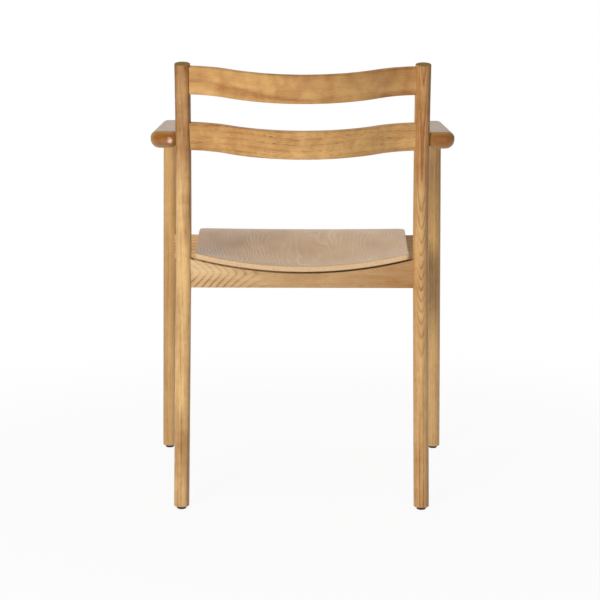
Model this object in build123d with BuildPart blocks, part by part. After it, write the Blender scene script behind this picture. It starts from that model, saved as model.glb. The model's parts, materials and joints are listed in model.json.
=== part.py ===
from build123d import *
from math import asin, atan, cos, degrees, radians, sin, sqrt, tan
import os

# Dining armchair: round legs, two rear posts bent backward above the seat, two bowed back
# slats, a dished plywood seat on a rail frame, and flat arms with softened edges.
# Millimetres, +Z up. The sitter faces -Y and the sitter's left is +X.
# "Forward" is measured from the rear feet towards the front legs.

# Stance of the four feet
foot_depth = 440.0
rear_foot_half = 218.0
front_foot_half = 275.4
rear_splay = 0.5
front_splay = 0.71

# Round legs and posts
leg_diameter = 28.0
post_top_height = 800.0
post_rake = 7.1
post_bend_height = 372.0
post_bend_radius = 1150.0
post_top_round = 1.2
foot_round = 1.8

# Back slats
slat_height = 49.5
slat_thickness = 14.0
slat_bow = 64.0
slat_arc_half = 131.0
slat_round = 2.5
top_slat_drop = 28.5
slat_pitch = 99.0
top_slat_tilt = 12.7
lower_slat_tilt = 10.8

# Plywood seat: heights of the sheet's middle and the rise of its sides, rear to front
seat_height = 458.0
seat_thickness = 10.5
seat_post_gap = 6.0
seat_leg_gap = 46.5
seat_rear_overhang = 10.0
seat_nose = 2.0
seat_rear_round = 10.0
seat_front_round = 60.0
seat_edge_round = 2.0
dish_half = 200.0
rear_drop = 15.1
rear_rise = 26.1
hollow_drop = 19.4
hollow_rise = 19.6
hollow_forward = 146.0
crest_lift = 2.8
crest_rise = 3.9
crest_setback = 66.0
lip_drop = 4.0
lip_rise = 1.2
sheet_margin = 20.0

# Rails under the seat: the seat bears on the side rails, clears the front rail, and stands over
# a rebate along the rear rail's back edge
shadow_gap = 3.2
shadow_depth = 15.0
rear_rail_thickness = 22.0
rear_rail_inset = 3.0
rear_rail_depth = 59.2
front_rail_thickness = 22.0
front_rail_depth = 59.2
side_rail_thickness = 20.0
side_rail_depth = 54.0
side_rail_inset = 28.0
rail_round = 2.0

# Arms
arm_rise = 222.5
arm_thickness = 30.0
arm_width = 49.5
arm_lap = 5.0
arm_tail = 8.0
arm_nose = 4.5
arm_leg_overhang = 3.4
arm_corner_round = 18.0
arm_top_round = 11.0
arm_under_round = 16.0

# Joints
joint_web = 1.5
tenon_thickness = 9.0
tenon_shoulder = 8.0
tenon_root = 6.0
stub_thickness = 8.0
stub_length = 10.0
leg_tenon_diameter = 18.0
leg_tenon_length = 18.0
dowel_diameter = 10.0
dowel_length = 40.0
dowel_chamfer = 1.0
dowel_forward = 6.0
fit_clearance = 0.15
pin_clearance = 0.1
seat_clearance = 0.1

# Corner blocks and steel screws
block_leg = 48.0
block_drop = 46.0
block_web = 12.0
screw_length = 28.0
screw_diameter = 4.0
screw_point = 5.0
screw_head_diameter = 8.0
screw_head_height = 2.5
screw_level = 13.0
access_clearance = 0.5
access_length = 60.0
seat_screw_setback = 13.0
seat_screw_length = 30.0
seat_screw_bite = 7.0

# Nail-on glides
glide_height = 5.0
glide_diameter = 18.5
glide_taper = 1.0
glide_chamfer = 0.8
nail_diameter = 2.6
nail_length = 16.0
nail_point = 3.0
nail_head_diameter = 9.0
nail_head_height = 1.2

# Places worked out from the sizes above
rake = radians(post_rake)
splay = radians(rear_splay)
leg_lean = radians(front_splay)
leg_radius = leg_diameter / 2
bend_centre_forward = post_bend_height * tan(rake) - post_bend_radius * cos(rake)
bend_centre_up = post_bend_height + post_bend_radius * sin(rake)
post_bend_angle = degrees(rake + asin((post_top_height - bend_centre_up) / post_bend_radius))
top_slat_centre = post_top_height - top_slat_drop
lower_slat_centre = top_slat_centre - slat_pitch
arm_top = seat_height + arm_rise
arm_bottom = arm_top - arm_thickness
arm_middle = arm_top - arm_thickness / 2


def post_forward(height):
    """How far a rear post's centre line stands in front of its foot."""
    if height < post_bend_height:
        return height * tan(rake)
    return bend_centre_forward + sqrt(post_bend_radius**2 - (height - bend_centre_up) ** 2)


def post_side(height):
    """Half the spacing of the rear posts' centre lines."""
    return rear_foot_half - height * tan(splay)


def leg_side(height):
    """Half the spacing of the front legs' centre lines."""
    return front_foot_half - height * tan(leg_lean)


# The chair's depth, from the arms' front ends to the back of the top slat, is centred on Y = 0
top_tilt = radians(top_slat_tilt)
slat_reach = (slat_bow + slat_thickness / 2 - slat_round) * cos(top_tilt) + slat_round
slat_reach += (slat_height / 2 - slat_round) * sin(top_tilt)
rear_reach = slat_reach - post_forward(top_slat_centre)
front_reach = foot_depth + leg_radius + arm_nose
rear_foot_y = (front_reach - rear_reach) / 2
front_foot_y = rear_foot_y - foot_depth

seat_rear_y = rear_foot_y - post_forward(seat_height) + seat_rear_overhang
seat_front_y = front_foot_y - leg_radius - seat_nose
seat_rear_half = post_side(seat_height) - leg_radius - seat_post_gap
seat_front_half = leg_side(seat_height) - leg_radius - seat_leg_gap

rear_rail_back = seat_rear_y - rear_rail_inset
rear_rail_front = rear_rail_back - rear_rail_thickness
front_rail_back = front_foot_y + front_rail_thickness / 2
rear_rail_bottom = seat_height - rear_rail_depth
front_rail_bottom = seat_height - front_rail_depth
side_rail_bottom = seat_height - side_rail_depth
block_bottom = seat_height - block_drop


# Blanks that more than one piece is cut from or cut to

post_plane = Plane(
    origin=(rear_foot_half, rear_foot_y, 0),
    x_dir=(0, -1, 0),
    z_dir=(-cos(splay), 0, -sin(splay)),
)
post_direction = post_plane.from_local_coords(Vector(sin(rake), cos(rake), 0)) - post_plane.origin
post_front = post_plane.from_local_coords(Vector(cos(rake), -sin(rake), 0)) - post_plane.origin
post_bend_start = post_plane.from_local_coords(
    Vector(post_bend_height * tan(rake), post_bend_height, 0)
)
post_bend_axis = Axis(
    post_plane.from_local_coords(Vector(bend_centre_forward, bend_centre_up, 0)),
    post_plane.z_dir,
)
leg_plane = Plane(
    origin=(front_foot_half, front_foot_y, 0),
    x_dir=(cos(leg_lean), 0, sin(leg_lean)),
    z_dir=(-sin(leg_lean), 0, cos(leg_lean)),
)


def post_blank(diameter):
    """The left rear post's bent round, running on below the floor."""
    straight_length = post_bend_height / cos(rake) + leg_diameter
    with BuildPart() as blank:
        with BuildSketch(Plane(origin=post_bend_start, x_dir=post_front, z_dir=-post_direction)):
            Circle(diameter / 2)
        extrude(amount=straight_length)
        with BuildSketch(Plane(origin=post_bend_start, x_dir=post_front, z_dir=post_direction)):
            Circle(diameter / 2)
        revolve(axis=post_bend_axis, revolution_arc=post_bend_angle)
    return blank.part


def leg_blank(diameter):
    """The left front leg's straight round, from below the floor to halfway up the arm."""
    with BuildPart() as blank:
        with BuildSketch(leg_plane.offset(-leg_diameter)):
            Circle(diameter / 2)
        extrude(amount=leg_diameter + arm_middle)
    return blank.part


def arm_blank():
    """The left arm with its softened edges, before it is cut for the post and the leg."""
    rear_y = rear_foot_y - post_forward(arm_middle) + arm_tail
    front_y = front_foot_y - leg_radius - arm_nose
    rear_inner = post_side(arm_middle) + leg_radius - arm_lap
    front_outer = leg_side(arm_middle) + leg_radius + arm_leg_overhang
    with BuildPart() as blank:
        with BuildSketch(Plane.XY.offset(arm_bottom)) as plan:
            with BuildLine():
                Polyline(
                    (rear_inner, rear_y),
                    (rear_inner + arm_width, rear_y),
                    (front_outer, front_y),
                    (front_outer - arm_width, front_y),
                    close=True,
                )
            make_face()
            fillet(plan.vertices(), arm_corner_round)
        extrude(amount=arm_thickness)
        fillet(blank.faces().sort_by(Axis.Z)[-1].edges(), arm_top_round)
        fillet(blank.faces().sort_by(Axis.Z)[0].edges(), arm_under_round)
    return blank.part


def seat_layer(low, high):
    """A sheet parallel to the seat's top, between two levels, reaching past the seat all round."""
    hollow_y = seat_rear_y - hollow_forward
    crest_y = seat_front_y + crest_setback
    stations = (
        (seat_rear_y + sheet_margin, seat_height - rear_drop, rear_rise),
        (hollow_y, seat_height - hollow_drop, hollow_rise),
        (crest_y, seat_height + crest_lift, crest_rise),
        (seat_front_y - sheet_margin, seat_height - lip_drop, lip_rise),
    )
    half = front_foot_half + sheet_margin
    with BuildPart() as layer:
        for station_y, middle, rise in stations:
            side = middle + rise * (half / dish_half) ** 2
            with BuildSketch(Plane(origin=(0, station_y, 0), x_dir=(1, 0, 0), z_dir=(0, -1, 0))):
                with BuildLine():
                    ThreePointArc((-half, side + low), (0, middle + low), (half, side + low))
                    Line((half, side + low), (half, side + high))
                    ThreePointArc((half, side + high), (0, middle + high), (-half, side + high))
                    Line((-half, side + high), (-half, side + low))
                make_face()
        loft()
    return layer.part


post_room = post_blank(leg_diameter + 2 * fit_clearance)
leg_room = leg_blank(leg_diameter + 2 * fit_clearance)
arm_form = arm_blank()
above_bearers = seat_layer(-seat_thickness - seat_clearance, seat_height)
above_gap = seat_layer(-seat_thickness - shadow_gap, seat_height)


# Seat shell

with BuildPart() as seat_shell:
    add(seat_layer(-seat_thickness, 0))
    with BuildSketch() as seat_plan:
        with BuildLine():
            Polyline(
                (seat_rear_half, seat_rear_y),
                (seat_front_half, seat_front_y),
                (-seat_front_half, seat_front_y),
                (-seat_rear_half, seat_rear_y),
                close=True,
            )
        make_face()
        fillet(seat_plan.vertices().sort_by(Axis.Y)[:2], seat_front_round)
        fillet(seat_plan.vertices().sort_by(Axis.Y)[-2:], seat_rear_round)
    extrude(amount=2 * seat_height, mode=Mode.INTERSECT)
    fillet(seat_shell.faces().sort_by(SortBy.AREA)[-2:].edges(), seat_edge_round)


# Back slats

def slat_plane(centre, tilt):
    """The plane of a slat's plan curve: its y runs backward and its normal up the slat."""
    return Plane(
        origin=(0, rear_foot_y - post_forward(centre), centre),
        x_dir=(1, 0, 0),
        z_dir=(0, sin(radians(tilt)), cos(radians(tilt))),
    )


def slat_tenon(plane, half_span, clearance):
    """The tenon on a slat's left end, or the mortise for it with a clearance."""
    root = half_span - leg_radius - tenon_root
    length = half_span - joint_web + clearance - root
    with BuildPart() as tenon:
        with BuildSketch(plane):
            with Locations((root + length / 2, 0)):
                Rectangle(length, tenon_thickness + 2 * clearance)
        extrude(amount=slat_height / 2 - tenon_shoulder + clearance, both=True)
    return tenon.part


def bowed_slat(plane, half_span):
    """A slat with a round middle bow that eases back to straight at both posts."""
    turn = 2 * atan(slat_bow / half_span)
    turn_angle = degrees(turn)
    middle_radius = slat_arc_half / sin(turn)
    end_radius = (half_span - slat_arc_half) / sin(turn)
    half_thickness = slat_thickness / 2
    with BuildPart() as slat:
        with BuildSketch(plane):
            with BuildLine():
                for face in (half_thickness, -half_thickness):
                    CenterArc(
                        (0, slat_bow - middle_radius),
                        middle_radius + face,
                        90 - turn_angle,
                        2 * turn_angle,
                    )
                    CenterArc((half_span, end_radius), end_radius - face, 270 - turn_angle, turn_angle)
                    CenterArc((-half_span, end_radius), end_radius - face, 270, turn_angle)
                for end in (half_span, -half_span):
                    Line((end, half_thickness), (end, -half_thickness))
            make_face()
        extrude(amount=slat_height / 2, both=True)
        fillet(slat.edges().filter_by(GeomType.CIRCLE), slat_round)
        add(post_room, mode=Mode.SUBTRACT)
        mirror(post_room, about=Plane.YZ, mode=Mode.SUBTRACT)
        add(slat_tenon(plane, half_span, 0))
        mirror(slat_tenon(plane, half_span, 0), about=Plane.YZ)
    return slat.part


top_slat_plane = slat_plane(top_slat_centre, top_slat_tilt)
lower_slat_plane = slat_plane(lower_slat_centre, lower_slat_tilt)

with BuildPart() as top_slat:
    add(bowed_slat(top_slat_plane, post_side(top_slat_centre)))

with BuildPart() as lower_slat:
    add(bowed_slat(lower_slat_plane, post_side(lower_slat_centre)))


# Rail tenons, all on the left and mirrored where a rail has two ends

def rail_tenon(end, middle_y, bottom, clearance):
    """A tenon that runs along X into a leg whose centre line stands at the end value."""
    root = end - leg_radius - tenon_root
    length = end - joint_web + clearance - root
    low = bottom + tenon_shoulder - clearance
    high = seat_height - seat_thickness - rear_drop - tenon_shoulder + clearance
    with BuildPart() as tenon:
        with BuildSketch(Plane.XY.offset(low)):
            with Locations((root + length / 2, middle_y)):
                Rectangle(length, tenon_thickness + 2 * clearance)
        extrude(amount=high - low)
    return tenon.part


def rear_rail_tenon(clearance):
    """The rear rail's tenon into the left post."""
    middle_y = (rear_rail_back + rear_rail_front) / 2
    return rail_tenon(post_side(rear_rail_bottom), middle_y, rear_rail_bottom, clearance)


def front_rail_tenon(clearance):
    """The front rail's tenon into the left front leg."""
    return rail_tenon(leg_side(front_rail_bottom), front_foot_y, front_rail_bottom, clearance)


def side_rail_x(at_y):
    """The side rail's centre line, a set distance inside the seat's slanted side."""
    slant = (seat_front_half - seat_rear_half) / (seat_front_y - seat_rear_y)
    return seat_rear_half + slant * (at_y - seat_rear_y) - side_rail_inset


def side_rail_stub(face_y, toward, clearance):
    """A stub tenon on a side rail's end, let into the rail whose face it meets."""
    low = side_rail_bottom + tenon_shoulder - clearance
    high = seat_height - seat_thickness - hollow_drop - tenon_shoulder + clearance
    length = stub_length + clearance + tenon_root
    with BuildPart() as stub:
        with BuildSketch(Plane.XY.offset(low)):
            with Locations((side_rail_x(face_y), face_y + toward * (length / 2 - tenon_root))):
                Rectangle(stub_thickness + 2 * clearance, length)
        extrude(amount=high - low)
    return stub.part


# Screws and corner blocks

def screw_at(plane, length):
    """A wood screw with its head seated on the plane, driven along the plane's normal."""
    side_view = Plane(origin=plane.origin, x_dir=plane.x_dir, z_dir=-plane.y_dir)
    with BuildPart() as screw:
        with BuildSketch(side_view):
            with BuildLine():
                Polyline(
                    (0, -screw_head_height),
                    (screw_head_diameter / 2, -screw_head_height),
                    (screw_head_diameter / 2, 0),
                    (screw_diameter / 2, 0),
                    (screw_diameter / 2, length - screw_point),
                    (0, length),
                    close=True,
                )
            make_face()
        revolve(axis=Axis(plane.origin, plane.z_dir))
    return screw.part


def screw_hole(plane, length):
    """The pilot hole for a screw, with the bore that its head and driver go in by."""
    with BuildPart() as hole:
        with BuildSketch(plane):
            Circle(screw_diameter / 2 + pin_clearance)
        extrude(amount=length + fit_clearance)
        with BuildSketch(plane):
            Circle(screw_head_diameter / 2 + access_clearance)
        extrude(amount=-access_length)
    return hole.part


def block_plan(face_y, toward):
    """Corner, rail end and side-rail end of a block that fills the corner at a rail's face."""
    inner = side_rail_x(face_y) - side_rail_thickness / 2
    far_y = face_y - toward * block_leg
    far_inner = side_rail_x(far_y) - side_rail_thickness / 2
    return (inner, face_y), (inner - block_leg, face_y), (far_inner, far_y)


def block_screw_planes(face_y, toward):
    """Head seats of a block's two screws: one into the rail, one into the side rail."""
    inner = side_rail_x(face_y) - side_rail_thickness / 2
    level = block_bottom + screw_level
    mid_y = face_y - toward * block_leg / 2
    mid_inner = side_rail_x(mid_y) - side_rail_thickness / 2
    into_rail = Plane(
        origin=(inner - block_leg / 2, face_y - toward * block_web, level),
        x_dir=(1, 0, 0),
        z_dir=(0, toward, 0),
    )
    into_side = Plane(
        origin=(mid_inner - block_web, mid_y, level), x_dir=(0, 1, 0), z_dir=(1, 0, 0)
    )
    return into_rail, into_side


def seat_screw_plane(face_y, toward):
    """Head seat of the upright screw that holds the seat, set by the seat's underside there."""
    at_x = side_rail_x(face_y) - side_rail_thickness / 2 - seat_screw_setback
    at_y = face_y - toward * seat_screw_setback
    upright = Axis((at_x, at_y, 0), (0, 0, 1))
    underside = min(point.Z for point, _ in seat_shell.part.find_intersection_points(upright))
    return Plane(origin=(at_x, at_y, underside + seat_screw_bite - seat_screw_length))


# The two left corners: the rail face that each meets and the way towards that rail
corners = {"front": (front_rail_back, -1), "rear": (rear_rail_front, 1)}
block_planes = {name: block_screw_planes(*corner) for name, corner in corners.items()}
seat_planes = {name: seat_screw_plane(*corner) for name, corner in corners.items()}
block_holes = {
    name: [screw_hole(plane, screw_length) for plane in planes]
    for name, planes in block_planes.items()
}
seat_holes = {name: screw_hole(plane, seat_screw_length) for name, plane in seat_planes.items()}


def corner_block(name):
    """A three-sided block glued and screwed in a left corner, its top against the seat."""
    with BuildPart() as block:
        with BuildSketch(Plane.XY.offset(block_bottom)):
            with BuildLine():
                Polyline(*block_plan(*corners[name]), close=True)
            make_face()
        extrude(amount=block_drop)
        add(above_bearers, mode=Mode.SUBTRACT)
        for hole in block_holes[name]:
            add(hole, mode=Mode.SUBTRACT)
        add(seat_holes[name], mode=Mode.SUBTRACT)
    return block.part


with BuildPart() as seat_fixing:
    for seat_hole in seat_holes.values():
        add(seat_hole)
        mirror(seat_hole, about=Plane.YZ)

with BuildPart() as drilled_seat:
    add(seat_shell.part)
    add(seat_fixing.part, mode=Mode.SUBTRACT)


# Rails

with BuildPart() as shadow_rebate:
    add(above_gap)
    with BuildSketch():
        with Locations((0, rear_rail_back)):
            Rectangle(2 * front_foot_half, 2 * shadow_depth)
    extrude(amount=2 * seat_height, mode=Mode.INTERSECT)

with BuildPart() as rear_rail:
    with BuildSketch(Plane.XY.offset(rear_rail_bottom)):
        with Locations((0, (rear_rail_back + rear_rail_front) / 2)):
            Rectangle(2 * post_side(rear_rail_bottom), rear_rail_thickness)
    extrude(amount=rear_rail_depth)
    fillet(rear_rail.faces().sort_by(Axis.Z)[0].edges().filter_by(Axis.X), rail_round)
    add(above_bearers, mode=Mode.SUBTRACT)
    add(shadow_rebate.part, mode=Mode.SUBTRACT)
    add(post_room, mode=Mode.SUBTRACT)
    mirror(post_room, about=Plane.YZ, mode=Mode.SUBTRACT)
    add(rear_rail_tenon(0))
    mirror(rear_rail_tenon(0), about=Plane.YZ)
    for cutter in (side_rail_stub(rear_rail_front, 1, fit_clearance), block_holes["rear"][0]):
        add(cutter, mode=Mode.SUBTRACT)
        mirror(cutter, about=Plane.YZ, mode=Mode.SUBTRACT)

with BuildPart() as front_rail:
    with BuildSketch(Plane.XY.offset(front_rail_bottom)):
        with Locations((0, front_foot_y)):
            Rectangle(2 * leg_side(front_rail_bottom), front_rail_thickness)
    extrude(amount=front_rail_depth)
    fillet(front_rail.faces().sort_by(Axis.Z)[0].edges().filter_by(Axis.X), rail_round)
    add(above_gap, mode=Mode.SUBTRACT)
    add(leg_room, mode=Mode.SUBTRACT)
    mirror(leg_room, about=Plane.YZ, mode=Mode.SUBTRACT)
    add(front_rail_tenon(0))
    mirror(front_rail_tenon(0), about=Plane.YZ)
    for cutter in (side_rail_stub(front_rail_back, -1, fit_clearance), block_holes["front"][0]):
        add(cutter, mode=Mode.SUBTRACT)
        mirror(cutter, about=Plane.YZ, mode=Mode.SUBTRACT)

with BuildPart() as side_rail:
    with BuildSketch(Plane.XY.offset(side_rail_bottom)):
        with BuildLine():
            Polyline(
                (side_rail_x(rear_rail_front) - side_rail_thickness / 2, rear_rail_front),
                (side_rail_x(rear_rail_front) + side_rail_thickness / 2, rear_rail_front),
                (side_rail_x(front_rail_back) + side_rail_thickness / 2, front_rail_back),
                (side_rail_x(front_rail_back) - side_rail_thickness / 2, front_rail_back),
                close=True,
            )
        make_face()
    extrude(amount=side_rail_depth)
    add(above_bearers, mode=Mode.SUBTRACT)
    add(side_rail_stub(rear_rail_front, 1, 0))
    add(side_rail_stub(front_rail_back, -1, 0))
    add(block_holes["rear"][1], mode=Mode.SUBTRACT)
    add(block_holes["front"][1], mode=Mode.SUBTRACT)


# Glides and their nails

def glide_at(x, y):
    """A black moulded disc under a foot, with a seat for its nail's head."""
    with BuildPart() as glide:
        with BuildSketch(Plane(origin=(x, y, 0), x_dir=(1, 0, 0), z_dir=(0, -1, 0))) as half:
            with BuildLine():
                Polyline(
                    (0, 0),
                    (glide_diameter / 2 - glide_taper, 0),
                    (glide_diameter / 2, glide_height),
                    (nail_head_diameter / 2 + fit_clearance, glide_height),
                    (nail_head_diameter / 2 + fit_clearance, glide_height - nail_head_height),
                    (0, glide_height - nail_head_height),
                    close=True,
                )
            make_face()
            chamfer(half.vertices().sort_by(Axis.X)[-2:], glide_chamfer)
        revolve(axis=Axis((x, y, 0), (0, 0, 1)))
    return glide.part


def nail_at(x, y, clearance):
    """The steel nail of a glide, or the pilot hole for it with a clearance."""
    head_bottom = glide_height - nail_head_height
    radius = nail_diameter / 2 + clearance
    tip = glide_height + nail_length + clearance
    with BuildPart() as nail:
        with BuildSketch(Plane(origin=(x, y, 0), x_dir=(1, 0, 0), z_dir=(0, -1, 0))):
            with BuildLine():
                Polyline(
                    (0, head_bottom),
                    (nail_head_diameter / 2, head_bottom),
                    (nail_head_diameter / 2, glide_height),
                    (radius, glide_height),
                    (radius, tip - nail_point),
                    (0, tip),
                    close=True,
                )
            make_face()
        revolve(axis=Axis((x, y, 0), (0, 0, 1)))
    return nail.part


rear_glide_place = (post_side(glide_height), rear_foot_y - post_forward(glide_height))
front_glide_place = (leg_side(glide_height), front_foot_y)


# Legs, posts and arms

dowel_start = post_side(arm_middle) + joint_web
dowel_y = rear_foot_y - post_forward(arm_middle) - dowel_forward


def arm_dowel_at(clearance):
    """The dowel that pins the left arm to the post, or the hole for it with a clearance."""
    with BuildPart() as dowel:
        with BuildSketch(
            Plane(origin=(dowel_start - clearance, dowel_y, arm_middle), z_dir=(1, 0, 0))
        ):
            Circle(dowel_diameter / 2 + clearance)
        extrude(amount=dowel_length + 2 * clearance)
        chamfer(dowel.edges().filter_by(GeomType.CIRCLE), dowel_chamfer)
    return dowel.part


def leg_tenon(clearance):
    """The round tenon on top of a front leg, or the socket for it with a clearance."""
    with BuildPart() as tenon:
        with BuildSketch(leg_plane.offset(arm_bottom - tenon_root)):
            Circle(leg_tenon_diameter / 2 + clearance)
        extrude(amount=tenon_root + leg_tenon_length + clearance)
    return tenon.part


with BuildPart() as rear_post:
    add(post_blank(leg_diameter))
    split(bisect_by=Plane.XY.offset(glide_height))
    fillet(rear_post.faces().sort_by(Axis.Z)[0].edges(), foot_round)
    fillet(rear_post.faces().sort_by(Axis.Z)[-1].edges(), post_top_round)
    add(slat_tenon(top_slat_plane, post_side(top_slat_centre), fit_clearance), mode=Mode.SUBTRACT)
    add(slat_tenon(lower_slat_plane, post_side(lower_slat_centre), fit_clearance), mode=Mode.SUBTRACT)
    add(rear_rail_tenon(fit_clearance), mode=Mode.SUBTRACT)
    add(arm_dowel_at(pin_clearance), mode=Mode.SUBTRACT)
    add(nail_at(*rear_glide_place, pin_clearance), mode=Mode.SUBTRACT)

with BuildPart() as front_leg:
    add(leg_blank(leg_diameter))
    split(bisect_by=Plane.XY.offset(glide_height))
    fillet(front_leg.faces().sort_by(Axis.Z)[0].edges(), foot_round)
    add(Pos(0, 0, -fit_clearance) * arm_form, mode=Mode.SUBTRACT)
    add(leg_tenon(0))
    add(front_rail_tenon(fit_clearance), mode=Mode.SUBTRACT)
    add(nail_at(*front_glide_place, pin_clearance), mode=Mode.SUBTRACT)

with BuildPart() as arm:
    add(arm_form)
    add(post_room, mode=Mode.SUBTRACT)
    add(arm_dowel_at(pin_clearance), mode=Mode.SUBTRACT)
    add(leg_tenon(fit_clearance), mode=Mode.SUBTRACT)


# Groups of like fasteners

with BuildPart() as block_screws:
    for planes in block_planes.values():
        for plane in planes:
            add(screw_at(plane, screw_length))
            mirror(screw_at(plane, screw_length), about=Plane.YZ)

with BuildPart() as seat_screws:
    for plane in seat_planes.values():
        add(screw_at(plane, seat_screw_length))
        mirror(screw_at(plane, seat_screw_length), about=Plane.YZ)

with BuildPart() as glide_nails:
    for place in (rear_glide_place, front_glide_place):
        add(nail_at(*place, 0))
        mirror(nail_at(*place, 0), about=Plane.YZ)

with BuildPart() as arm_dowels:
    add(arm_dowel_at(0))
    mirror(arm_dowel_at(0), about=Plane.YZ)


# Labels and files: single pieces first, then the left pieces with their right-hand mirrors

single_pieces = {
    "top_slat": top_slat.part,
    "lower_slat": lower_slat.part,
    "rear_rail": rear_rail.part,
    "front_rail": front_rail.part,
    "seat_shell": drilled_seat.part,
    "arm_dowels": arm_dowels.part,
    "block_screws": block_screws.part,
    "seat_screws": seat_screws.part,
    "glide_nails": glide_nails.part,
}
left_pieces = {
    "rear_post": rear_post.part,
    "front_leg": front_leg.part,
    "arm": arm.part,
    "side_rail": side_rail.part,
    "corner_block_front": corner_block("front"),
    "corner_block_rear": corner_block("rear"),
    "glide_rear": glide_at(*rear_glide_place),
    "glide_front": glide_at(*front_glide_place),
}

os.makedirs("parts", exist_ok=True)

for name, piece in single_pieces.items():
    piece.label = name
    export_step(piece, f"parts/{name}.step")

for name, piece in left_pieces.items():
    with BuildPart() as right_piece:
        mirror(piece, about=Plane.YZ)
    piece.label = f"{name}_left"
    right_piece.part.label = f"{name}_right"
    export_step(piece, f"parts/{name}_left.step")
    export_step(right_piece.part, f"parts/{name}_right.step")
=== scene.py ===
# %% [markdown]
# # A wooden dining armchair, dressed for its portrait
# The chair comes from CAD as finished pieces: round posts and legs, bowed slats, arms, a dished
# seat, rails, and the blocks and screws that hide under the seat. Their shapes are right already,
# so this lesson is about the rest of a good picture: what the wood looks like, how light falls on
# it, and where the camera stands. Everything is in metres, +Z is up and the sitter faces -Y.

# %% Load the frame
import json
import math

import bpy
from mathutils import Matrix, Vector


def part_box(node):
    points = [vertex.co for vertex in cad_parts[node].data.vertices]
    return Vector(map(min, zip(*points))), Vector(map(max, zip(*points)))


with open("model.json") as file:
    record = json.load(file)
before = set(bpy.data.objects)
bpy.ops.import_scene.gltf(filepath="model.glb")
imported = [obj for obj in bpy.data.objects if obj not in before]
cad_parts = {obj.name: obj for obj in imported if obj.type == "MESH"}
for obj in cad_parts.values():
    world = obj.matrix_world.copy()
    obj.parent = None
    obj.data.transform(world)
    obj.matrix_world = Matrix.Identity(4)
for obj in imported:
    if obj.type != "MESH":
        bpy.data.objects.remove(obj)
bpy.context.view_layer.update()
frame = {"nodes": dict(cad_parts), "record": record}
nodes = frame["nodes"]
feet = {mount["name"]: Vector(mount["pos_m"]) for mount in frame["record"]["mounts"]}

# %% [markdown]
# ## Small tools
# Two helpers carry the whole lesson. The first turns a colour as a designer writes it, an sRGB hex
# value, into the linear numbers that a renderer counts with. The second adds one shader node, sets
# its properties and links its inputs, so that a material reads as a list of steps. Two more start
# a material and give it to a piece. Inputs go by name or by their number in the node: in a Map
# Range 1 and 2 are the range that comes in, and 3 and 4 the one that goes out. In a colour Mix 0 is
# the share, and 6 and 7 are the two colours.

# %% Colour and node helpers
MM = 0.001


def linear(code):
    """An sRGB hex colour such as D6AC73 as linear red, green, blue and alpha."""
    values = [int(code[at:at + 2], 16) / 255 for at in (0, 2, 4)]
    return [v / 12.92 if v <= 0.04045 else ((v + 0.055) / 1.055) ** 2.4 for v in values] + [1.0]


def add(tree, kind, inputs=None, **settings):
    """Add a node. An input is a plain value, a socket, or a node whose first output is meant."""
    made = tree.nodes.new(kind)
    for name, value in settings.items():
        setattr(made, name, value)
    for name, value in (inputs or {}).items():
        source = value.outputs[0] if isinstance(value, bpy.types.Node) else value
        if isinstance(source, bpy.types.NodeSocket):
            tree.links.new(source, made.inputs[name])
        else:
            made.inputs[name].default_value = source
    return made


def blank_material(name):
    """A material with an empty node tree."""
    material = bpy.data.materials.new(name)
    material.use_nodes = True
    material.node_tree.nodes.clear()
    return material


def dress(node, material):
    """Give a CAD piece its finish through the slot that it came with."""
    nodes[node].material_slots[0].material = material


print("helpers ready, honey oak in linear light:", [round(v, 3) for v in linear("D6AC73")])

# %% [markdown]
# ## Which way the grain runs
# Wood has a direction. Each piece was sawn with its grain along its length, so each needs a small
# frame of its own: an origin, the way along the grain, the way across the face that shows, and the
# way out of that face. Bent pieces get a correction as well, so that the grain follows the bend and
# isn't cut through, which is how a steamed or laminated part looks.

# %% Grain frames
POST_RAKE = math.radians(7.1)
POST_SPLAY = math.radians(0.5)
POST_BEND_HEIGHT = 372 * MM
POST_BEND_RADIUS = 1150 * MM
LEG_SPLAY = math.radians(0.71)
SLAT_BOW = 64 * MM
UP = Vector((0, 0, 1))
BACKWARD = Vector((0, 1, 0))
LEFT = Vector((1, 0, 0))


def grain_frame(origin, along, face):
    """Origin and three unit vectors: along the grain, across the face and out of the face."""
    along = along.normalized()
    across = face.cross(along).normalized()
    return origin, along, across, along.cross(across)


def middle_of(node):
    """The middle of a piece's box."""
    low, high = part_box(node)
    return (low + high) / 2


def side_of(name):
    """1 for a left piece and -1 for a right one."""
    return 1 if name.endswith("left") else -1


def post_bend(tree, along):
    """How far a post's grain swings back above the bend: a circle, close to a parabola here."""
    past = add(tree, "ShaderNodeMath", {0: along, 1: POST_BEND_HEIGHT}, operation="SUBTRACT")
    above = add(tree, "ShaderNodeMath", {0: past, 1: 0.0}, operation="MAXIMUM")
    square = add(tree, "ShaderNodeMath", {0: above, 1: above}, operation="MULTIPLY")
    return add(tree, "ShaderNodeMath", {0: square, 1: 0.5 / POST_BEND_RADIUS}, operation="MULTIPLY")


def slat_bend(tree, along):
    """How far a slat bows back: most in the middle, nothing at the posts, eased at both."""
    half_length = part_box("top_slat")[1].x
    turn = add(tree, "ShaderNodeMath", {0: along, 1: math.pi / half_length}, operation="MULTIPLY")
    wave = add(tree, "ShaderNodeMath", {0: turn}, operation="COSINE")
    half_bow = SLAT_BOW / 2
    return add(tree, "ShaderNodeMath", {0: wave, 1: half_bow, 2: half_bow}, operation="MULTIPLY_ADD")


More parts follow.
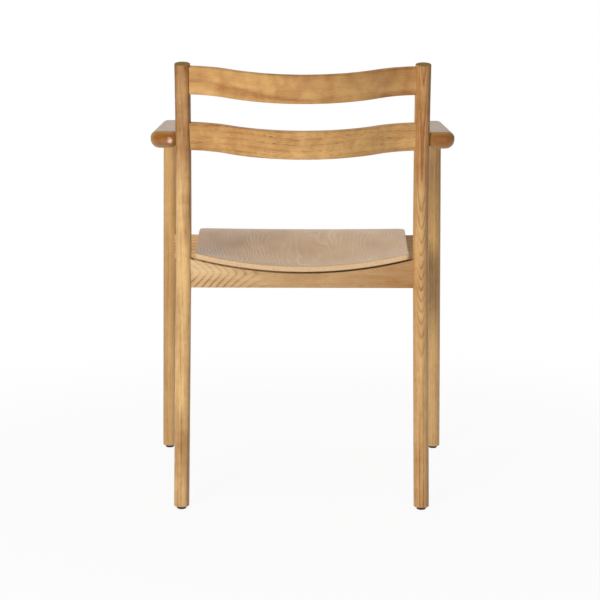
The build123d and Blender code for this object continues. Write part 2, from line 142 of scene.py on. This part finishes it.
def wood_place(tree, grain, bend, shift):
    """Where a point lies in its board: along the grain, and as along, across and outward together."""
    origin, *ways = grain
    here = add(tree, "ShaderNodeTexCoord").outputs["Object"]
    offset = add(tree, "ShaderNodeVectorMath", {0: here, 1: origin}, operation="SUBTRACT")
    along, across, outward = [
        add(tree, "ShaderNodeVectorMath", {0: offset, 1: way}, operation="DOT_PRODUCT").outputs["Value"]
        for way in ways
    ]
    if bend:
        outward = add(tree, "ShaderNodeMath", {0: outward, 1: bend(tree, along)}, operation="SUBTRACT")
    moved = add(tree, "ShaderNodeMath", {0: along, 1: shift}, operation="ADD")
    return along, add(tree, "ShaderNodeCombineXYZ", {0: moved, 1: across, 2: outward})


print("a post's grain swings back", round((0.8 - POST_BEND_HEIGHT) ** 2 / POST_BEND_RADIUS / 2, 3), "m")

# %% [markdown]
# ## The figure of oak
# European oak is ring-porous: each year starts with a band of wide pores, which looks darker, and
# ends in dense wood, which looks paler. Sawn along the trunk these bands show as long stripes, and
# where the grain dives into the board they close to the pointed arches called cathedrals. The figure
# here is a solid one: it works out how far a point is from the middle of the tree and draws the year
# rings by that distance, so that faces, rounded edges and end grain all belong together. Fibres,
# pores, paler ray flecks and the cross bands of a curly board lie over the rings.

# %% Grain patterns
WANDER = (190 * MM, 40 * MM, 40 * MM)
GRAIN_CELLS = {
    "fibre": ((95 * MM, 1.6 * MM, 1.6 * MM), 3.0),
    # A real pore is about 0.3 mm wide. It is drawn three times as wide, so that it shows at all.
    "pore": ((16 * MM, 1.0 * MM, 1.0 * MM), 1.0),
    "fleck": ((9 * MM, 2.6 * MM, 2.6 * MM), 1.0),
    "curl": ((19 * MM, 28 * MM, 28 * MM), 2.5),
    "cloud": ((150 * MM, 24 * MM, 24 * MM), 2.0),
}


def grain_patterns(tree, wood, cells):
    """Noise stretched along the grain, one pattern for each named cell size and detail."""
    patterns = {}
    for name, (cell, detail) in cells.items():
        counted = [1 / side for side in cell]
        place = add(tree, "ShaderNodeVectorMath", {0: wood, 1: counted}, operation="MULTIPLY")
        noise = {"Vector": place, "Scale": 1.0, "Detail": detail}
        patterns[name] = add(tree, "ShaderNodeTexNoise", noise)
    return patterns


def year_rings(tree, along, wood, pith, ring, wander, dive, fade):
    """1 at the start of each year and 0 late in it. In a dive the rings slope across the grain,
    and past it a share of them fades out."""
    slow = grain_patterns(tree, wood, {"slow": (WANDER, 4.0)})["slow"].outputs["Color"]
    centred = add(tree, "ShaderNodeVectorMath", {0: slow, 1: (0.5, 0.5, 0.5)}, operation="SUBTRACT")
    reach = (0, wander, wander)
    wandering = add(
        tree, "ShaderNodeVectorMath", {0: centred, 1: reach, 2: wood}, operation="MULTIPLY_ADD"
    )
    from_pith = add(
        tree, "ShaderNodeVectorMath", {0: wandering, 1: (0, pith[0], pith[1])}, operation="SUBTRACT"
    )
    level = add(tree, "ShaderNodeVectorMath", {0: from_pith, 1: (0, 1, 1)}, operation="MULTIPLY")
    radius = add(tree, "ShaderNodeVectorMath", {0: level}, operation="LENGTH").outputs["Value"]
    start, end, depth = dive
    sunk = add(
        tree, "ShaderNodeMapRange", {"Value": along, 1: start, 2: end, 3: 0.0, 4: depth},
        interpolation_type="SMOOTHSTEP",
    )
    grown = add(tree, "ShaderNodeMath", {0: radius, 1: sunk}, operation="ADD")
    years = add(tree, "ShaderNodeMath", {0: grown, 1: ring}, operation="DIVIDE")
    season = add(tree, "ShaderNodeMath", {0: years}, operation="FRACT")
    rising = add(tree, "ShaderNodeMapRange", {"Value": season, 1: 0.86, 2: 1.0})
    falling = add(tree, "ShaderNodeMapRange", {"Value": season, 1: 0.0, 2: 0.36, 3: 1.0, 4: 0.0})
    band = add(tree, "ShaderNodeMath", {0: rising, 1: falling}, operation="MAXIMUM")
    half_way = (start + end) / 2
    calm = add(tree, "ShaderNodeMapRange", {"Value": along, 1: half_way, 2: end, 3: 1.0, 4: 1.0 - fade})
    return add(tree, "ShaderNodeMath", {0: band, 1: calm}, operation="MULTIPLY")


print("grain patterns:", ", ".join(GRAIN_CELLS))

# %% [markdown]
# ## Oak under satin lacquer
# The colour runs from the pale late wood to the dark early wood, with flecks and pores on top. End
# grain drinks more of the finish, so it is darker. The satin lacquer fills most of each pore and
# gives a soft shine that is a little rougher over the pores.

# %% The oak material
FLECK_COLOUR = "E6C592"
PORE_COLOUR = "70451F"
LACQUER_ROUGH = 0.34
PORE_ROUGH = 0.5
WOOD_IOR = 1.5
RELIEF_SHARE = 0.12
RELIEF_HEIGHT = 0.25 * MM


def oak(
    name, grain, light, dark, pith, ring, rings=0.4, wander=3 * MM, dive=(0, 1, 0), fade=0.0,
    bend=None, shift=0.0, curl=0.4, cloud=0.8, pores=0.5, base=0.38, turn=(0, 1, 0),
    end="6E4A26", end_shade=0.0, end_rough=0.75,
):
    """Lacquered oak. The pith lies across and outward of the origin. Shares say how much shows, and
    a turn takes the base shade to another one between two places along the grain."""
    material = blank_material(name)
    tree = material.node_tree
    along, wood = wood_place(tree, grain, bend, shift)
    clear = year_rings(tree, along, wood, pith, ring, wander, dive, fade)
    pattern = grain_patterns(tree, wood, GRAIN_CELLS)
    patchy = add(
        tree, "ShaderNodeMapRange", {"Value": pattern["cloud"], 1: 0.36, 2: 0.6, 3: 0.35, 4: 1.0}
    )
    early = add(tree, "ShaderNodeMath", {0: clear, 1: patchy}, operation="MULTIPLY")

    # Shade from 0, the pale wood, to 1, the dark wood. On some pieces the base shade and its turn along
    # the grain also carry painted light and shade.
    shade = add(
        tree, "ShaderNodeMapRange", {"Value": along, 1: turn[0], 2: turn[1], 3: base, 4: base + turn[2]},
        interpolation_type="SMOOTHSTEP",
    )
    shade = add(tree, "ShaderNodeMath", {0: early, 1: rings, 2: shade}, operation="MULTIPLY_ADD")
    for layer, share in (("fibre", 0.4), ("curl", curl), ("cloud", cloud)):
        middle = add(tree, "ShaderNodeMath", {0: pattern[layer], 1: 0.5}, operation="SUBTRACT")
        shade = add(tree, "ShaderNodeMath", {0: middle, 1: share, 2: shade}, operation="MULTIPLY_ADD")
    clamped = add(tree, "ShaderNodeClamp", {0: shade})
    colour = add(
        tree, "ShaderNodeMix", {0: clamped, 6: linear(light), 7: linear(dark)}, data_type="RGBA"
    ).outputs[2]

    # Pale ray flecks, then pores, which crowd in the early wood
    fleck = add(
        tree, "ShaderNodeMapRange", {"Value": pattern["fleck"], 1: 0.6, 2: 0.74, 3: 0.0, 4: 0.14}
    )
    colour = add(
        tree, "ShaderNodeMix", {0: fleck, 6: colour, 7: linear(FLECK_COLOUR)}, data_type="RGBA"
    ).outputs[2]
    dash = add(tree, "ShaderNodeMapRange", {"Value": pattern["pore"], 1: 0.58, 2: 0.66})
    crowd = add(tree, "ShaderNodeMath", {0: early, 1: 0.5, 2: 0.5}, operation="MULTIPLY_ADD")
    dashes = add(tree, "ShaderNodeMath", {0: dash, 1: crowd}, operation="MULTIPLY")
    pore_share = add(tree, "ShaderNodeMath", {0: dashes, 1: pores}, operation="MULTIPLY")
    colour = add(
        tree, "ShaderNodeMix", {0: pore_share, 6: colour, 7: linear(PORE_COLOUR)}, data_type="RGBA"
    ).outputs[2]

    # End grain, where the surface faces along the wood
    normal = add(tree, "ShaderNodeTexCoord").outputs["Normal"]
    facing = add(tree, "ShaderNodeVectorMath", {0: normal, 1: grain[1]}, operation="DOT_PRODUCT")
    endness = add(tree, "ShaderNodeMath", {0: facing.outputs["Value"]}, operation="ABSOLUTE")
    end_share = add(
        tree, "ShaderNodeMapRange", {"Value": endness, 1: 0.5, 2: 0.95, 3: 0.0, 4: end_shade}
    )
    colour = add(
        tree, "ShaderNodeMix", {0: end_share, 6: colour, 7: linear(end)}, data_type="RGBA"
    ).outputs[2]

    # Slight relief, which the lacquer levels on end grain, and a shine that is duller over the pores
    relief = add(
        tree, "ShaderNodeMath", {0: dashes, 1: -1.0, 2: pattern["fibre"]}, operation="MULTIPLY_ADD"
    )
    raised = add(
        tree, "ShaderNodeMapRange", {"Value": end_share, 1: 0.0, 2: 0.9, 3: RELIEF_SHARE, 4: 0.0}
    )
    bump = add(tree, "ShaderNodeBump", {"Strength": raised, "Distance": RELIEF_HEIGHT, "Height": relief})
    satin = add(
        tree, "ShaderNodeMapRange", {"Value": dashes, 1: 0.0, 2: 1.0, 3: LACQUER_ROUGH, 4: PORE_ROUGH}
    )
    rough = add(tree, "ShaderNodeMix", {0: end_share, 2: satin, 3: end_rough})
    shader = add(
        tree,
        "ShaderNodeBsdfPrincipled",
        {"Base Color": colour, "Roughness": rough, "IOR": WOOD_IOR, "Normal": bump},
    )
    add(tree, "ShaderNodeOutputMaterial", {"Surface": shader})
    return material


print("oak ready, with", len(GRAIN_CELLS), "grain patterns over its year rings")

# %% [markdown]
# ## One tree, many boards
# No two boards look alike, and a viewer notices when they do. Each piece gets its own place in the
# log. On a round post the rings run nearly parallel to the axis, and where they slope a little the
# curved surface cuts them to a stack of small pointed arches.

# %% Posts and legs
# Both posts turn darker above the seat: partly the wood's own browner tone, partly painted shade where
# the upper post catches no shine. The left post turns darker still, as painted shade that tempers the
# key light on its side. Its paler cloudy streaks are partly its own figure and partly a painted
# highlight down its middle.
POST_FIGURE_AND_SHADE = {
    "rear_post_left": dict(
        light="E8BE80", dark="8A521C", pith=(22 * MM, -46 * MM), ring=3.2 * MM, rings=0.35,
        dive=(0.1, 0.8, 9 * MM), curl=0.45, cloud=1.5, base=0.27, turn=(0.46, 0.74, 0.62),
    ),
    "rear_post_right": dict(
        light="E0B478", dark="9C6226", pith=(0, -60 * MM), ring=1.9 * MM, rings=0.6,
        dive=(0.22, 0.6, 24 * MM), base=0.28, turn=(0.46, 0.74, 0.3),
    ),
}
for name, figure_and_shade in POST_FIGURE_AND_SHADE.items():
    side = side_of(name)
    foot = feet["rear_left_foot" if side > 0 else "rear_right_foot"]
    up_post = Vector((-side * math.tan(POST_SPLAY), -math.tan(POST_RAKE), 1))
    post_oak = oak(
        f"lacquered_oak_{name}", grain_frame(foot, up_post, BACKWARD), bend=post_bend,
        shift=0.37 * side, wander=1.5 * MM, end="86703F", end_shade=0.9, **figure_and_shade,
    )
    dress(name, post_oak)

for name in ("front_leg_left", "front_leg_right"):
    side = side_of(name)
    foot = feet["front_left_foot" if side > 0 else "front_right_foot"]
    up_leg = Vector((-side * math.tan(LEG_SPLAY), 0, 1))
    # The left leg's base shade is a little darker and the right one's paler: painted shade and painted
    # light that even out the key light from the sitter's left.
    leg_oak = oak(
        f"lacquered_oak_{name}", grain_frame(foot, up_leg, BACKWARD), "E2B678", "AC7C44",
        pith=(-38 * MM * side, -52 * MM), ring=3.1 * MM, rings=0.3, shift=1.9 + 0.53 * side,
        base=0.3 + 0.1 * side, curl=0.3, pores=0.35, end_shade=0.7,
    )
    dress(name, leg_oak)
print("posts and legs dressed")

# %% [markdown]
# The slats are bent, so they were cut with the rings standing on edge, which bends without
# splitting. That leaves straight fine stripes along them. The upper one is curly and smooth, and the
# lower one is coarser and full of short dark pore dashes.

# %% Slats
# Each slat's turn darkens one end. The top slat darkens towards the sitter's right, partly its own tone
# and partly painted shade away from the key light. The lower slat darkens towards the sitter's left,
# partly a dark patch in the board and partly painted shade that tempers the key light there.
SLAT_FIGURE_AND_SHADE = {
    "top_slat": dict(
        tilt=12.7, shift=0.21, pores=0.25, curl=0.9, rings=0.4, ring=40 * MM, wander=9 * MM,
        dive=(0.02, 0.2, 16 * MM), turn=(0.1, -0.2, 0.15),
    ),
    "lower_slat": dict(
        tilt=10.8, shift=3.33, pores=0.75, curl=0.9, rings=0.2, ring=9 * MM,
        base=0.52, turn=(0.2, 0.02, -0.14),
    ),
}
for name, figure_and_shade in SLAT_FIGURE_AND_SHADE.items():
    low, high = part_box(name)
    tilt = math.radians(figure_and_shade.pop("tilt"))
    face = Vector((0, math.cos(tilt), -math.sin(tilt)))
    origin = Vector((0, low.y + (high.y - low.y - SLAT_BOW) / 2, (low.z + high.z) / 2))
    slat_oak = oak(
        f"lacquered_oak_{name}", grain_frame(origin, LEFT, face), "DEB06C", "A06830",
        pith=(-129.5 * MM, -70 * MM), bend=slat_bend, **figure_and_shade,
    )
    dress(name, slat_oak)
print("slats dressed")

# %% [markdown]
# The arms and rails are flat-sawn. At the left end of the rear rail the grain dives steeply, so the
# rings close there to a row of arches that point to the right, and the rest of the rail is plain.

# %% Arms and rails
ARM_WIDTH = 49.5 * MM
# The left arm's end shines and the right one's doesn't
ARM_END_ROUGH = {"arm_left": 0.2, "arm_right": 0.46}
for name, end_rough in ARM_END_ROUGH.items():
    side = side_of(name)
    low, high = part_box(name)
    splay_of_arm = (high.x - low.x - ARM_WIDTH) / (high.y - low.y)
    along_arm = Vector((-side * splay_of_arm, 1, 0))
    arm_oak = oak(
        f"lacquered_oak_{name}", grain_frame(middle_of(name), along_arm, UP), "C0945A", "8A6435",
        pith=(9 * MM, -80 * MM), ring=3.8 * MM, dive=(-0.2, 0.2, 12 * MM), shift=5.1 + side,
        end="8E5418", end_shade=0.9, end_rough=end_rough,
    )
    dress(name, arm_oak)

# The rear rail's turn makes it paler at the sitter's left end and darker towards the right: partly the
# wood's own tone, partly a painted sheen at the left end and painted shade by the right post.
RAIL_FIGURE_AND_SHADE = {
    "rear_rail": dict(
        pith=(1.5 * MM, 9 * MM), ring=13 * MM, rings=0.72, dive=(0.27, 0.05, 150 * MM), fade=0.9,
        wander=13 * MM, curl=0.2, base=0.2, turn=(0.2, -0.1, 0.52),
    ),
    "front_rail": dict(pith=(60 * MM, -64 * MM), ring=4 * MM),
    "side_rail_left": dict(pith=(6 * MM, -64 * MM), ring=4 * MM, dive=(-0.2, 0.2, 15 * MM)),
    "side_rail_right": dict(pith=(-8 * MM, -58 * MM), ring=4 * MM, dive=(0.2, -0.2, 15 * MM)),
}
for number, (name, figure_and_shade) in enumerate(RAIL_FIGURE_AND_SHADE.items()):
    along_rail, face = (BACKWARD, LEFT) if name.startswith("side") else (LEFT, BACKWARD)
    rail_oak = oak(
        f"lacquered_oak_{name}", grain_frame(middle_of(name), along_rail, face), "E2C08F", "A06A28",
        shift=7.3 + 1.7 * number, **figure_and_shade,
    )
    dress(name, rail_oak)
print("arms and rails dressed")

# %% [markdown]
# ## A veneered seat
# The seat is a thin moulded sheet. Its faces are oak veneer, a slice so quiet that its year lines
# show only in a few bundles, a little paler than the wood between them. A lipping of pale oak closes
# the edge, and its grain crosses the edge at a slant as fine hatching. The edge is told from the
# faces by which way the surface looks.

# %% The seat material
VENEER_CELLS = {
    "fibre": ((95 * MM, 1.6 * MM, 1.6 * MM), 3.0),
    "tone": ((110 * MM, 45 * MM, 45 * MM), 3.0),
    "bundle": ((170 * MM, 60 * MM, 60 * MM), 1.0),
}
HATCH = (3.2 * MM, 60 * MM, 1.4 * MM)
HATCH_SLANT = math.radians(35)
# The seat's faces are made darker towards the sitter's left
LEFTWARD_DARKENING_REACH = 180 * MM
LEFTWARD_DARKENING_SHARE = 0.4


def lipped_veneer(name, grain, shift):
    """Veneer with bundles of paler lines on the faces and a hatched pale lipping round the edge."""
    material = blank_material(name)
    tree = material.node_tree
    along, wood = wood_place(tree, grain, None, shift)
    early = year_rings(
        tree, along, wood, pith=(15 * MM, -75 * MM), ring=6 * MM, wander=30 * MM,
        dive=(-0.25, 0.25, 40 * MM), fade=0.0,
    )
    pattern = grain_patterns(tree, wood, VENEER_CELLS)
    across = add(tree, "ShaderNodeSeparateXYZ", {0: wood}).outputs["Y"]
    leftward_darkening = add(
        tree, "ShaderNodeMapRange", {"Value": across, 1: 0.0, 2: -LEFTWARD_DARKENING_REACH, 3: 0.0, 4: LEFTWARD_DARKENING_SHARE}
    )
    toned = add(tree, "ShaderNodeMath", {0: pattern["tone"], 1: leftward_darkening}, operation="ADD")
    tone = add(
        tree, "ShaderNodeMix", {0: toned, 6: linear("DCB888"), 7: linear("B28450")}, data_type="RGBA"
    ).outputs[2]
    bundled = add(
        tree, "ShaderNodeMapRange", {"Value": pattern["bundle"], 1: 0.42, 2: 0.66, 3: 0.04, 4: 0.6}
    )
    line = add(tree, "ShaderNodeMath", {0: early, 1: bundled}, operation="MULTIPLY")
    arched = add(
        tree, "ShaderNodeMix", {0: line, 6: tone, 7: linear("DEC8A6")}, data_type="RGBA"
    ).outputs[2]

    here = add(tree, "ShaderNodeTexCoord")
    slanted = add(
        tree, "ShaderNodeMapping", {0: here.outputs["Object"], "Rotation": (0, HATCH_SLANT, 0)}
    )
    hatch = grain_patterns(tree, slanted, {"hatch": (HATCH, 2.0)})["hatch"]
    lipping = add(
        tree, "ShaderNodeMix", {0: hatch, 6: linear("E9CDA4"), 7: linear("C39764")}, data_type="RGBA"
    ).outputs[2]
    upward = add(tree, "ShaderNodeSeparateXYZ", {0: here.outputs["Normal"]}).outputs["Z"]
    level = add(tree, "ShaderNodeMath", {0: upward}, operation="ABSOLUTE")
    edge = add(tree, "ShaderNodeMapRange", {"Value": level, 1: 0.55, 2: 0.75, 3: 1.0, 4: 0.0})
    colour = add(tree, "ShaderNodeMix", {0: edge, 6: arched, 7: lipping}, data_type="RGBA").outputs[2]

    bump = add(
        tree, "ShaderNodeBump", {"Strength": 0.1, "Distance": 0.2 * MM, "Height": pattern["fibre"]}
    )
    rough = add(
        tree, "ShaderNodeMapRange",
        {"Value": pattern["fibre"], 1: 0.3, 2: 0.7, 3: LACQUER_ROUGH, 4: 0.42},
    )
    shader = add(
        tree,
        "ShaderNodeBsdfPrincipled",
        {"Base Color": colour, "Roughness": rough, "IOR": WOOD_IOR, "Normal": bump},
    )
    add(tree, "ShaderNodeOutputMaterial", {"Surface": shader})
    return material


seat_grain = grain_frame(middle_of("seat_shell"), BACKWARD, UP)
dress("seat_shell", lipped_veneer("lacquered_oak_veneer", seat_grain, 11.7))
print("seat dressed")

# %% [markdown]
# ## What hides under the seat
# The corner blocks and dowels are beech, a pale even wood with short brown flecks. They hardly show,
# so one material, with its flecks along Y, serves them all.

# %% Beech
BEECH_CELLS = {
    "fleck": ((1.1 * MM, 6 * MM, 1.1 * MM), 1.0),
    "cloud": ((18 * MM, 60 * MM, 18 * MM), 2.0),
}


def beech(name):
    """Sanded beech: pale pinkish wood with short darker flecks."""
    material = blank_material(name)
    tree = material.node_tree
    here = add(tree, "ShaderNodeTexCoord").outputs["Object"]
    pattern = grain_patterns(tree, here, BEECH_CELLS)
    tone = add(
        tree, "ShaderNodeMix", {0: pattern["cloud"], 6: linear("D9B48C"), 7: linear("C79C70")},
        data_type="RGBA",
    ).outputs[2]
    fleck = add(
        tree, "ShaderNodeMapRange", {"Value": pattern["fleck"], 1: 0.58, 2: 0.7, 3: 0.0, 4: 0.4}
    )
    colour = add(
        tree, "ShaderNodeMix", {0: fleck, 6: tone, 7: linear("9A6C45")}, data_type="RGBA"
    ).outputs[2]
    bump = add(
        tree, "ShaderNodeBump", {"Strength": 0.15, "Distance": 0.2 * MM, "Height": pattern["cloud"]}
    )
    shader = add(
        tree,
        "ShaderNodeBsdfPrincipled",
        {"Base Color": colour, "Roughness": 0.62, "IOR": WOOD_IOR, "Normal": bump},
    )
    add(tree, "ShaderNodeOutputMaterial", {"Surface": shader})
    return material


block_wood = beech("sanded_beech")
for name in nodes:
    if name.startswith("corner_block") or name == "arm_dowels":
        dress(name, block_wood)
print("beech pieces dressed")

# %% [markdown]
# ## Screws, nails and glides
# The screws and nails are zinc-plated steel, which the plating bath leaves a little cloudy. The glides
# are black moulded nylon with a fine matt skin, scuffed paler where they slide over the floor.

# %% Steel and nylon
def zinc_steel(name):
    """Zinc-plated steel: a bluish grey metal, clouded by the plating bath."""
    material = blank_material(name)
    tree = material.node_tree
    here = add(tree, "ShaderNodeTexCoord").outputs["Object"]
    cloud = grain_patterns(tree, here, {"cloud": ((1.5 * MM, 1.5 * MM, 1.5 * MM), 3.0)})["cloud"]
    rough = add(tree, "ShaderNodeMapRange", {"Value": cloud, 1: 0.3, 2: 0.7, 3: 0.3, 4: 0.48})
    tone = add(
        tree, "ShaderNodeMix", {0: cloud, 6: linear("C9CBCC"), 7: linear("A9ACAE")}, data_type="RGBA"
    ).outputs[2]
    shader = add(
        tree, "ShaderNodeBsdfPrincipled", {"Base Color": tone, "Roughness": rough, "Metallic": 1.0}
    )
    add(tree, "ShaderNodeOutputMaterial", {"Surface": shader})
    return material


NYLON_CELLS = {
    "grit": ((0.5 * MM, 0.5 * MM, 0.5 * MM), 2.0),
    "scuff": ((5 * MM, 5 * MM, 2 * MM), 3.0),
}


def moulded_nylon(name):
    """Black nylon: a fine spark-eroded skin, scuffed paler here and there by the floor."""
    material = blank_material(name)
    tree = material.node_tree
    here = add(tree, "ShaderNodeTexCoord").outputs["Object"]
    pattern = grain_patterns(tree, here, NYLON_CELLS)
    scuff = add(
        tree, "ShaderNodeMapRange", {"Value": pattern["scuff"], 1: 0.5, 2: 0.75, 3: 0.0, 4: 0.6}
    )
    tone = add(
        tree, "ShaderNodeMix", {0: scuff, 6: linear("1B1B1C"), 7: linear("303031")}, data_type="RGBA"
    ).outputs[2]
    bump = add(
        tree, "ShaderNodeBump", {"Strength": 0.25, "Distance": 0.1 * MM, "Height": pattern["grit"]}
    )
    rough = add(tree, "ShaderNodeMapRange", {"Value": pattern["grit"], 1: 0.3, 2: 0.7, 3: 0.5, 4: 0.66})
    shader = add(
        tree,
        "ShaderNodeBsdfPrincipled",
        {"Base Color": tone, "Roughness": rough, "IOR": 1.53, "Normal": bump},
    )
    add(tree, "ShaderNodeOutputMaterial", {"Surface": shader})
    return material


plated = zinc_steel("zinc_plated_steel")
nylon = moulded_nylon("black_moulded_nylon")
for name in nodes:
    if name.endswith(("screws", "nails")):
        dress(name, plated)
    elif name.startswith("glide"):
        dress(name, nylon)
print("screws, nails and glides dressed")

# %% [markdown]
# ## The studio
# A pale floor runs out to a white surround, as on a photographer's sweep. The camera and reflections
# see both as white, except where the next step hangs cloth. Close to the chair the floor keeps some
# of its own paint, so that it takes a soft shadow, and further out it melts into the white.

# %% Floor and surround
FLOOR_HALF = 30.0
SHADOW_NEAR = 0.45
SHADOW_FAR = 1.5
GLOW_NEAR = 0.92
AMBIENT_LEVEL = 0.28


def seen_directly(tree):
    """1 for rays from the camera, and for reflections and glass, which show the same surround."""
    path = add(tree, "ShaderNodeLightPath").outputs
    mirrored = add(
        tree, "ShaderNodeMath", {0: path["Is Camera Ray"], 1: path["Is Glossy Ray"]}, operation="MAXIMUM"
    )
    return add(
        tree, "ShaderNodeMath", {0: mirrored, 1: path["Is Transmission Ray"]}, operation="MAXIMUM"
    )


sweep = blank_material("pale_studio_floor")
tree = sweep.node_tree
painted = add(tree, "ShaderNodeBsdfDiffuse", {"Color": linear("D9D8D6")})
glow = add(tree, "ShaderNodeEmission", {"Color": (1, 1, 1, 1), "Strength": 1.0})
place = add(tree, "ShaderNodeTexCoord").outputs["Object"]
distance = add(tree, "ShaderNodeVectorMath", {0: place}, operation="LENGTH").outputs["Value"]
whiter = add(
    tree, "ShaderNodeMapRange", {"Value": distance, 1: SHADOW_NEAR, 2: SHADOW_FAR, 3: GLOW_NEAR, 4: 1.0},
    interpolation_type="SMOOTHSTEP",
)
share = add(tree, "ShaderNodeMath", {0: seen_directly(tree), 1: whiter}, operation="MULTIPLY")
mixed = add(tree, "ShaderNodeMixShader", {0: share, 1: painted, 2: glow})
add(tree, "ShaderNodeOutputMaterial", {"Surface": mixed})

floor_mesh = bpy.data.meshes.new("studio_floor")
corners = [(x * FLOOR_HALF, y * FLOOR_HALF, 0) for x, y in ((-1, -1), (1, -1), (1, 1), (-1, 1))]
floor_mesh.from_pydata(corners, [], [(0, 1, 2, 3)])
floor_mesh.materials.append(sweep)
floor = bpy.data.objects.new("studio_floor", floor_mesh)
bpy.context.scene.collection.objects.link(floor)

surround = bpy.data.worlds.new("white_surround")
surround.use_nodes = True
tree = surround.node_tree
tree.nodes.clear()
ambient = add(tree, "ShaderNodeBackground", {"Color": linear("FFFFFF"), "Strength": AMBIENT_LEVEL})
white = add(tree, "ShaderNodeBackground", {"Color": linear("FFFFFF"), "Strength": 1.0})
mixed = add(tree, "ShaderNodeMixShader", {0: seen_directly(tree), 1: ambient, 2: white})
add(tree, "ShaderNodeOutputWorld", {"Surface": mixed})
bpy.context.scene.world = surround
print("floor", 2 * FLOOR_HALF, "m across")

# %% [markdown]
# Round legs on a white ground need dark edges, or they melt into it. A photographer hangs dark cloth
# round the set for that, with a canopy over it and an opening where the backdrop stands: the wood
# mirrors the cloth at its turning edges, and the backdrop only from the level seat and arms. The
# cloth here is there for reflections alone.

# %% Dark cloth
CLOTH_RADIUS = 4.4
CLOTH_HEIGHT = 3.4
OPENING_HEIGHT = 3.0
OPENING_HALF_ANGLE = math.radians(48)
CLOTH_PANELS = 30

cloth = blank_material("black_studio_cloth")
woven = add(cloth.node_tree, "ShaderNodeBsdfDiffuse", {"Color": linear("2A2A2A")})
add(cloth.node_tree, "ShaderNodeOutputMaterial", {"Surface": woven})

cloth_points = []
cloth_faces = []
for panel in range(CLOTH_PANELS):
    turns = [2 * math.pi * (panel + side) / CLOTH_PANELS - math.pi for side in (0, 1)]
    opening = abs(sum(turns) / 2) < OPENING_HALF_ANGLE
    edges = [(-CLOTH_RADIUS * math.sin(turn), -CLOTH_RADIUS * math.cos(turn)) for turn in turns]
    first = len(cloth_points)
    for z in (OPENING_HEIGHT if opening else 0, CLOTH_HEIGHT):
        cloth_points += [(x, y, z) for x, y in edges]
    cloth_points.append((0, 0, CLOTH_HEIGHT))
    cloth_faces += [(first, first + 1, first + 3, first + 2), (first + 2, first + 3, first + 4)]
cloth_mesh = bpy.data.meshes.new("dark_cloth")
cloth_mesh.from_pydata(cloth_points, [], cloth_faces)
cloth_mesh.materials.append(cloth)
dark_cloth = bpy.data.objects.new("dark_cloth", cloth_mesh)
for ray in ("camera", "diffuse", "shadow"):
    setattr(dark_cloth, f"visible_{ray}", False)
bpy.context.scene.collection.objects.link(dark_cloth)
print("cloth in", CLOTH_PANELS, "panels and a canopy")

# %% [markdown]
# ## Light
# The key light stands to the camera's left, so each post turns from light to dark, and the seat's
# frame shades the front leg behind it. It comes nearly level, which leaves the seat and the arms'
# tops darker than the upright faces. Weaker lights from above and from the front serve the other
# views. None of these shows in reflections, so that the seat mirrors the plain backdrop. Two small
# lamps do the opposite. One by the camera only puts a soft shine on the wood. A low one near the left
# arm shines on its end, and is linked to that arm alone, as a photographer would flag it off the rest.

# %% Soft boxes
def soft_box(name, place, aim, width, height, watts):
    """An oval area light at a place, turned towards a point and itself out of the picture."""
    lamp = bpy.data.lights.new(name, "AREA")
    lamp.shape = "ELLIPSE"
    lamp.size = width
    lamp.size_y = height
    lamp.energy = watts
    made = bpy.data.objects.new(name, lamp)
    made.location = place
    made.rotation_mode = "QUATERNION"
    made.rotation_quaternion = (Vector(aim) - Vector(place)).to_track_quat("-Z", "Y")
    made.visible_camera = False
    bpy.context.scene.collection.objects.link(made)
    return made


CHAIR_MIDDLE = (0, 0, 0.5)
# The low lamp's aim, near the rear end of the left arm
ARM_REAR_END = middle_of("arm_left") + Vector((0, 0.18, 0))
mirrored_only = [
    soft_box("shine_lamp", (-0.25, 3.5, 0.7), CHAIR_MIDDLE, width=0.75, height=0.45, watts=12),
    soft_box("low_lamp", (0.06, 0.53, 0.47), ARM_REAR_END, width=0.36, height=0.4, watts=4),
]
for box in mirrored_only:
    box.visible_diffuse = False
low_lamp = mirrored_only[-1]
flagged = bpy.data.collections.new("lit_by_low_lamp")
flagged.objects.link(nodes["arm_left"])
low_lamp.light_linking.receiver_collection = flagged
unmirrored = [
    soft_box("key_soft_box", (1.3, 3.0, 1.45), CHAIR_MIDDLE, width=1.0, height=1.0, watts=76),
    soft_box("front_soft_box", (0.9, -3.1, 0.95), CHAIR_MIDDLE, width=2.0, height=1.7, watts=55),
    soft_box("top_soft_box", (0, 0, 3.1), CHAIR_MIDDLE, width=2.2, height=2.2, watts=17),
]
for box in unmirrored:
    box.visible_glossy = False
print(len(mirrored_only), "lamps for shine and", len(unmirrored), "soft boxes for light")

# %% [markdown]
# ## Camera
# A product picture of a chair's back is taken from far away with a long lens, so that the legs stay
# nearly parallel. This one stands about 2.8 m behind the rear feet at seat-back height, and looks
# down a little.

# %% Camera
SENSOR_WIDTH_MM = 36
LENS_MM = 94.24
CAMERA_PLACE = Vector((0.0037, 2.9643, 0.8388))
CAMERA_PITCH = math.radians(9.35)
CAMERA_ROLL = 0.003

camera_data = bpy.data.cameras.new("portrait_camera")
camera_data.sensor_width = SENSOR_WIDTH_MM
camera_data.lens = LENS_MM
camera = bpy.data.objects.new("portrait_camera", camera_data)
turned = Matrix.Rotation(math.pi, 4, "Z") @ Matrix.Rotation(math.pi / 2 - CAMERA_PITCH, 4, "X")
camera.matrix_world = Matrix.Translation(CAMERA_PLACE) @ turned @ Matrix.Rotation(CAMERA_ROLL, 4, "Z")
bpy.context.scene.collection.objects.link(camera)
bpy.context.scene.camera = camera
bpy.context.scene.view_settings.view_transform = "Standard"
print("camera", [round(v, 3) for v in camera.location], "lens", LENS_MM, "mm")
